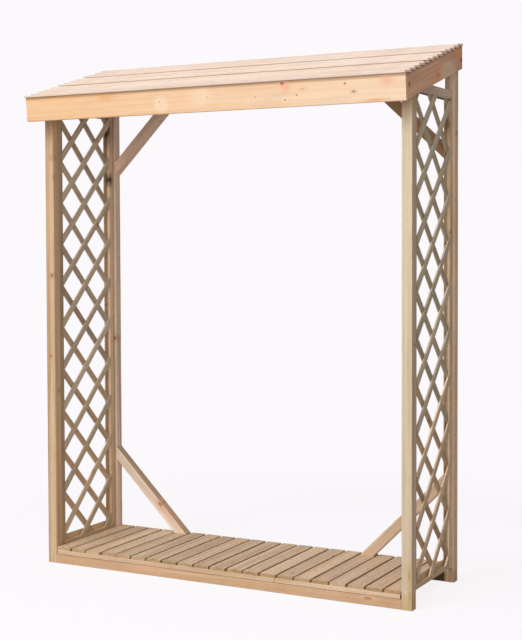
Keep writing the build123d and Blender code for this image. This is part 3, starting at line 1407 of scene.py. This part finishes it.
@dataclass
class Viewpoint:
    """The camera, fitted to the picture's frame of 522 by 640 pixels."""

    place: Triple = (2.3422, -4.2782, 1.2393)
    azimuth: float = 27.923
    pitch: float = 2.040
    roll: float = -0.198
    focal_pixels: float = 1319.1
    principal: Point = (257.1, 288.2)
    picture: Point = (522.0, 640.0)
    film: float = 36.0

    def build(self) -> None:
        """Make the camera and give it to the scene."""
        data = bpy.data.cameras.new("camera")
        long_side = max(self.picture)
        data.sensor_width = self.film
        data.lens = self.focal_pixels / long_side * self.film
        data.shift_x = (self.picture[0] / 2 - self.principal[0]) / long_side
        data.shift_y = (self.principal[1] - self.picture[1] / 2) / long_side
        camera = set_out("camera", data)
        roll = math.radians(self.roll)
        forward = -bearing(self.azimuth, self.pitch)
        level = forward.cross(UPWARDS).normalized()
        upright = level.cross(forward)
        right = level * math.cos(roll) + upright * math.sin(roll)
        up = upright * math.cos(roll) - level * math.sin(roll)
        turned = Matrix((right, up, -forward)).transposed().to_4x4()
        camera.matrix_world = Matrix.Translation(self.place) @ turned
        bpy.context.scene.camera = camera


@dataclass(frozen=True)
class Lamp:
    """A round soft lamp aimed at the middle of the object."""

    name: str
    azimuth: float
    elevation: float
    level: float
    size: float
    distance: float = 9.0

    AIM = Vector((0.0, 0.0, 0.9))

    def hang(self) -> None:
        """Hang the lamp, with the power at which white turned to it is lit to its level."""
        data = bpy.data.lights.new(self.name, "AREA")
        data.shape = "DISK"
        data.size = self.size
        data.energy = self.level * (math.pi * self.distance) ** 2
        lamp = set_out(self.name, data)
        towards = bearing(self.azimuth, self.elevation)
        lamp.location = self.AIM + towards * self.distance
        lamp.rotation_euler = (-towards).to_track_quat("-Z", "Y").to_euler()


@dataclass
class Studio:
    """A pale floor, a soft key light, a low fill light, a top light and even light all round."""

    paper: Screen = (252, 249, 252)
    floor_colour: Colour = (0.6, 0.6, 0.6)
    floor_shade: Colour = (0.13, 0.133, 0.14)
    floor_radius: float = 12.0
    floor_sides: int = 96
    near: float = 1.2
    far: float = 2.8
    floor_glow: float = 0.9
    ambient: float = 0.25
    ambient_colour: Colour = (1.0, 0.93, 0.86)
    lamps: tuple[Lamp, ...] = (
        Lamp("key", -14.0, 40.0, 0.55, 5.0),
        Lamp("fill", 20.0, 12.0, 0.27, 5.0),
        Lamp("top", 0.0, 82.0, 0.1, 4.0),
    )

    def build(self) -> None:
        """Set the view transform, the world, the lamps and the floor."""
        bpy.context.scene.view_settings.view_transform = "Standard"
        self.world()
        for lamp in self.lamps:
            lamp.hang()
        self.floor()

    @staticmethod
    def seen(w: Wiring) -> Socket:
        """Tell the rays that show a background from those that carry light.

        Args:
            w: The wiring of the tree that asks.

        Returns:
            1 for rays that show it, or else 0.
        """
        path = w.node("ShaderNodeLightPath").outputs
        glossy = w.math("MAXIMUM", path["Is Camera Ray"], path["Is Glossy Ray"])
        return w.math("MAXIMUM", glossy, path["Is Transmission Ray"])

    def world(self) -> None:
        """Make the world: white paper to look at, a low even light to see by."""
        world = bpy.data.worlds.new("studio")
        world.use_nodes = True
        bpy.context.scene.world = world
        w = Wiring(world.node_tree)
        world.node_tree.nodes.clear()
        even = w.glow("ShaderNodeBackground", self.ambient_colour, self.ambient)
        paper = w.glow("ShaderNodeBackground", linear(self.paper), 1.0)
        w.node("ShaderNodeOutputWorld", {"Surface": w.mix(self.seen(w), even, paper)})

    def floor(self) -> None:
        """Lay a round pale floor that fades into the paper away from the object."""
        made = bmesh.new()
        bmesh.ops.create_circle(made, cap_ends=True, segments=self.floor_sides,
                                radius=self.floor_radius)
        mesh = bpy.data.meshes.new("floor")
        made.to_mesh(mesh)
        made.free()
        mesh.materials.append(self.floor_material())
        floor = set_out("floor", mesh)

    def floor_material(self) -> bpy.types.Material:
        """Make the floor's material: shaded by the object near it, and bare paper further off.

        Returns:
            The material.
        """
        made, w = new_material("floor_paper")
        made.node_tree.nodes.clear()
        away = w.length(w.node("ShaderNodeTexCoord").outputs["Object"])
        fade = w.span(away, self.near, self.far)
        plain = w.node("ShaderNodeBsdfDiffuse", {"Color": self.floor_colour}).outputs[0]
        shade = w.node("ShaderNodeBsdfDiffuse", {"Color": self.floor_shade}).outputs[0]
        glow = w.glow("ShaderNodeEmission", linear(self.paper), self.floor_glow)
        lit = w.node("ShaderNodeAddShader", {0: shade, 1: glow}).outputs[0]
        paper = w.glow("ShaderNodeEmission", linear(self.paper), 1.0)
        shown = w.mix(fade, lit, paper)
        w.node("ShaderNodeOutputMaterial", {"Surface": w.mix(self.seen(w), plain, shown)})
        return made


TREATED = (204, 188, 152)
ROSY = (226, 178, 146)
PINK = (240, 176, 146)
ORANGE = (230, 156, 94)
CREAM = (250, 228, 198)
WEATHERED = (206, 190, 170)
ALONG = (1.0, 0.0, 0.0)
BACK_ALONG = (-1.0, 0.0, 0.0)
ACROSS = (0.0, 1.0, 0.0)
BACK_ACROSS = (0.0, -1.0, 0.0)
THROUGH = (0.0, 0.0, 1.0)
TO_FRONT = (0.0, 0.0, -1.0)

KNOTS_AND_SHADE = {
    "front_fascia": (
        KnotAndShade(-0.1753, -0.0045, 0.005, 0.005, rim=CREAM, rim_share=0.75),
        KnotAndShade(-0.168, -0.012, 0.014, 0.014, PINK, CREAM, 0.12, 0.5),
        KnotAndShade(0.0226, 0.0008, 0.003, 0.0025, core_share=0.7),
        KnotAndShade(0.0, 0.004, 0.02, 0.014, CREAM, CREAM, 0.0, 0.4),
        KnotAndShade(0.2138, -0.0095, 0.0025, 0.0025, core_share=0.5, rim_share=0.2),
        KnotAndShade(0.3177, 0.0319, 0.009, 0.005, rim=PINK, rim_share=0.7),
        KnotAndShade(0.3303, 0.0195, 0.009, 0.009, PINK, PINK, 0.3, 0.5),
        KnotAndShade(0.3262, -0.0239, 0.0045, 0.004, rim=CREAM, core_share=0.6),
        KnotAndShade(0.3703, -0.0095, 0.004, 0.0035, rim=ORANGE, core_share=0.55, rim_share=0.2),
        KnotAndShade(0.3918, 0.0093, 0.009, 0.003, ORANGE, ORANGE, 0.5, 0.3),
        KnotAndShade(0.5495, 0.0184, 0.003, 0.003, core_share=0.7),
        KnotAndShade(0.5796, -0.0095, 0.007, 0.0035, core_share=0.55),
        KnotAndShade(0.6995, 0.0209, 0.012, 0.009, PINK, PINK, 0.35, 0.45),
        KnotAndShade(0.6549, -0.0412, 0.03, 0.004, ORANGE, ORANGE, 0.5, 0.3),
        KnotAndShade(-0.4006, 0.0252, 0.02, 0.01, ORANGE, ORANGE, 0.2, 0.3),
    ),
    "right_bargeboard": (
        KnotAndShade(-0.261, 0.0043, 0.009, 0.010, rim=ORANGE, rim_share=0.5),
        KnotAndShade(0.0162, -0.0165, 0.011, 0.008, rim=ORANGE, rim_share=0.6),
        KnotAndShade(0.0191, -0.02, 0.03, 0.014, ORANGE, ORANGE, 0.0, 0.5),
        KnotAndShade(0.2645, -0.0074, 0.010, 0.009, (44, 28, 20)),
        KnotAndShade(0.2372, 0.0258, 0.024, 0.012, ORANGE, ORANGE, 0.2, 0.55),
        KnotAndShade(0.1148, -0.0203, 0.04, 0.018, CREAM, CREAM, 0.0, 0.45),
    ),
    "front_left_post": (KnotAndShade(-0.1069, 0.0005, 0.005, 0.005),),
    "rear_left_post": (KnotAndShade(-0.1269, 0.0124, 0.008, 0.006, (80, 48, 28), rim_share=0.6),),
    "front_right_post": (
        KnotAndShade(-0.79, 0.009, 0.022, 0.005, (186, 140, 84), (206, 168, 112), 0.5, 0.5),
        KnotAndShade(-0.855, 0.012, 0.02, 0.004, (178, 132, 78), (206, 168, 112), 0.5, 0.4),
    ),
    "left_rear_stile": (
        KnotAndShade(0.5762, 0.0, 0.014, 0.05, (44, 28, 16), (104, 76, 50), 0.97, 0.7, 0.0045, 0.009),
        # A dark patch at the top, where the laths meet the top rail: painted shadow.
        KnotAndShade(0.78, 0.0, 0.035, 0.05, (58, 36, 20), (110, 74, 46), 0.75, 0.6, -0.008, 0.012),
    ),
    "right_rear_stile": (
        KnotAndShade(0.85, 0.0, 0.09, 0.05, WEATHERED, WEATHERED, 0.0, 0.4, 0.015, 0.01),
        # A black spot in the corner of the rebate under the top rail: painted shadow.
        KnotAndShade(0.8226, 0.0, 0.007, 0.05, (26, 18, 14), (80, 58, 42), 0.97, 0.6, 0.0, 0.008),
        KnotAndShade(0.74, 0.0, 0.03, 0.05, (120, 84, 50), (150, 112, 72), 0.6, 0.5, -0.01, 0.012),
    ),
    "bottom_left_brace": (
        KnotAndShade(-0.071, 0.0, 0.014, 0.05, (128, 80, 54), ROSY, 0.8, 0.6, -0.012, 0.008),
        KnotAndShade(-0.13, 0.0, 0.035, 0.05, ROSY, ROSY, 0.35, 0.35, -0.012, 0.008),
    ),
    "front_bottom_rail": (
        KnotAndShade(0.5907, -0.019, 0.017, 0.006, (140, 88, 64), ROSY, 0.5, 0.5, 0.006, 0.006),
        KnotAndShade(-0.3, -0.019, 0.04, 0.006, ROSY, ROSY, 0.3, 0.4, 0.004, 0.008),
    ),
    "front_floor_batten": (KnotAndShade(0.2315, -0.01, 0.0012, 0.05, core_share=0.7, rim_share=0.2),),
}

SLATS = TimberFinish("slat_timber", (255, 232, 200), (188, 146, 110), (216, 180, 142),
                     ring_width=0.008, fleck_share=0.5, tone_spread=0.11, knot_share=0.12,
                     end_tone=(0.6, 0.53, 0.4), end_spread=0.45,
                     # The drifts darken both side faces of each slat: painted shade in the gaps
                     # between slats.
                     drifts=(Drift((0.62, 0.55, 0.48), ACROSS, 0.0285, 0.03),
                             Drift((0.62, 0.55, 0.48), BACK_ACROSS, 0.0285, 0.03)))

FINISHES = (
    TimberFinish("warm_post_timber", (226, 198, 164), (164, 126, 92), (204, 164, 118),
                 ring_width=0.012,
                 drifts=(Drift((0.8, 0.77, 0.72), BACK_ACROSS, 0.011, 0.018),
                         # The drift towards ACROSS lightens the right face: painted light on that
                         # side.
                         Drift((1.12, 1.12, 1.14), ACROSS, 0.015, 0.019))),
    TimberFinish("pale_post_timber", (239, 221, 196), (198, 170, 142), (220, 196, 165),
                 ring_width=0.012,
                 # The drift towards ACROSS darkens the right face: painted shade on that side.
                 drifts=(Drift((0.78, 0.73, 0.66), ACROSS, 0.0165, 0.019),
                         Drift((0.94, 0.87, 0.68), BACK_ALONG, 0.845, 0.87),
                         # The drift towards ALONG darkens the top below the bargeboard: painted
                         # shadow.
                         Drift((0.88, 0.8, 0.72), ALONG, 0.745, 0.79))),
    TimberFinish("rear_left_timber", (236, 208, 180), (152, 118, 90), (193, 157, 122),
                 ring_width=0.01,
                 # The drift lightens the right face: painted light on that side.
                 drifts=(Drift((1.46, 1.58, 1.9), ACROSS, 0.014, 0.019),)),
    TimberFinish("rear_right_timber", (244, 214, 186), (162, 128, 100), (201, 163, 124),
                 ring_width=0.01,
                 # The drift towards ACROSS darkens the right face a little: painted shade on that
                 # side.
                 drifts=(Drift((1.0, 0.97, 0.94), ACROSS, 0.014, 0.019),
                         Drift((1.08, 1.16, 1.28), ALONG, 0.72, 0.88),
                         Drift((0.8, 0.74, 0.6), BACK_ALONG, 0.9, 0.95))),
    TimberFinish("rail_timber", (222, 188, 150), (176, 136, 98), ROSY, fleck_share=0.25,
                 # The drift darkens the top edge of the rails: a painted shadow line below the floor
                 # batten.
                 drifts=(Drift((0.62, 0.55, 0.48), THROUGH, 0.0145, 0.0175),)),
    TimberFinish("rear_rail_timber", (222, 188, 150), (176, 136, 98), ROSY,
                 # The drift makes the front face very dark: painted shade under the floor.
                 drifts=(Drift((0.16, 0.13, 0.1), BACK_ACROSS, 0.012, 0.018),)),
    TimberFinish("batten_timber", (246, 220, 188), (206, 170, 132), ROSY, knot_share=0.1),
    SLATS,
    replace(SLATS, name="pale_slat_timber", dark=(210, 166, 130), tint=(234, 198, 160)),
    TimberFinish("front_stile_timber", (228, 200, 168), (160, 128, 94), (200, 166, 126)),
    TimberFinish("rear_stile_timber", (248, 222, 189), (175, 142, 106), (213, 179, 136),
                 # The drifts lighten the step face a little (painted light), darken the lip (painted
                 # shade in the rebate) and darken the rear edge beside the post (painted shade in the
                 # corner).
                 drifts=(Drift((1.05, 1.05, 1.09), TO_FRONT, 0.0004, 0.0014),
                         Drift((0.65, 0.6, 0.52), TO_FRONT, 0.0028, 0.0036),
                         Drift((0.86, 0.84, 0.82), THROUGH, 0.016, 0.025))),
    TimberFinish("sill_timber", (238, 206, 168), (160, 126, 94), (196, 166, 126), fleck_share=0.35),
    TimberFinish("head_timber", (236, 208, 188), (176, 148, 126), (206, 178, 156),
                 # The drift darkens the lip under the bar: painted shade in the recess.
                 drifts=(Drift((0.3, 0.26, 0.22), THROUGH, 0.0086, 0.0098),)),
    # The high lath finishes are darker than the low ones: partly painted roof shade, partly weathered
    # wood.
    TimberFinish("left_under_high_lath", (226, 206, 182), (160, 134, 108), (150, 104, 70),
                 tone_spread=0.12, tint_spread=0.5),
    TimberFinish("left_under_low_lath", (236, 208, 176), (174, 138, 104), (206, 166, 116),
                 tone_spread=0.1),
    TimberFinish("left_over_high_lath", (236, 216, 192), (160, 138, 112), (204, 184, 154),
                 tone_spread=0.12, tint_spread=0.4),
    TimberFinish("left_over_low_lath", (230, 208, 180), (154, 130, 102), TREATED, tone_spread=0.12),
    TimberFinish("right_under_high_lath", (202, 184, 154), (132, 114, 88), (156, 144, 114),
                 tone_spread=0.12, tint_spread=0.5),
    TimberFinish("right_under_low_lath", (210, 178, 140), (140, 108, 76), (172, 128, 84),
                 tone_spread=0.1),
    # In both right over-lath finishes the drift lightens the upper front edge of each lath: painted
    # highlight, strongest on the low laths.
    TimberFinish("right_over_high_lath", (216, 200, 174), (146, 128, 102), (182, 176, 150),
                 tone_spread=0.12, tint_spread=0.5,
                 drifts=(Drift((1.1, 1.1, 1.14), TO_FRONT, 0.0105, 0.0118),)),
    TimberFinish("right_over_low_lath", (232, 202, 172), (152, 122, 94), (200, 172, 134),
                 tone_spread=0.14, drifts=(Drift((1.4, 1.48, 1.58), TO_FRONT, 0.0105, 0.0118),)),
    TimberFinish("bottom_left_brace_timber", (255, 238, 222), (196, 166, 142), (230, 210, 180),
                 # The drift darkens the upper face: painted shade.
                 drifts=(Drift((0.66, 0.56, 0.44), TO_FRONT, 0.0165, 0.0185),)),
    TimberFinish("top_left_brace_timber", (255, 232, 210), (208, 160, 132), (242, 200, 168),
                 fleck_share=0.35),
    TimberFinish("bottom_right_brace_timber", (236, 214, 188), (190, 160, 130), (212, 182, 146)),
    TimberFinish("top_right_brace_timber", (200, 158, 118), (136, 98, 66), (162, 124, 88)),
    TimberFinish("fascia_timber", (246, 217, 186), (234, 186, 140), (246, 204, 166),
                 tone_spread=0.0, ring_width=0.012, tint_spread=0.0, knot_share=0.0,
                 fleck_share=0.04,
                 drifts=(Drift((1.0, 0.9, 0.78), BACK_ALONG, -0.1, 0.7),
                         Drift((1.02, 1.08, 1.18), ALONG, 0.1, 0.7),
                         # The drift towards ACROSS darkens a band along the top edge: painted shadow
                         # under the roof's eave.
                         Drift((0.78, 0.7, 0.62), ACROSS, 0.027, 0.034)),
                 end_tone=(0.9, 0.8, 0.72)),
    TimberFinish("barge_timber", (248, 200, 164), (176, 124, 92), (196, 130, 94),
                 tone_spread=0.0, tint_share=0.55, tint_spread=0.0, knot_share=0.15,
                 ring_width=0.014, ring_share=0.45,
                 # The drift darkens a band along the top edge: painted shadow under the roof board
                 # ends.
                 drifts=(Drift((0.84, 0.82, 0.8), ACROSS, 0.022, 0.04),)),
    TimberFinish("roof_timber", (241, 229, 218), (216, 188, 168), (231, 213, 201),
                 tone_spread=0.035, ring_width=0.011, ring_share=0.45, streak_share=0.75,
                 # The end tone above one lightens the board ends: painted light on ends that face
                 # away from the key lamp.
                 knot_share=0.08, fleck_share=0.08, end_tone=(1.24, 1.06, 0.94), end_spread=0.1),
)


def main() -> None:
    """Build the sub-assemblies in order, then the studio and the camera."""
    logging.basicConfig(level=logging.INFO, format="%(message)s")
    shop = Workshop(FINISHES)
    assemblies = (
        Framing(shop),
        FloorSlats(shop),
        SideFrame(shop, "left"),
        SideFrame(shop, "right"),
        Braces(shop),
        RoofEdge(shop),
        RoofBoards(shop),
        Fixings(shop),
        Studio(),
        Viewpoint(),
    )
    for assembly in assemblies:
        assembly.build()
        LOG.info("%s is done", type(assembly).__name__)


if __name__ == "__main__":
    main()
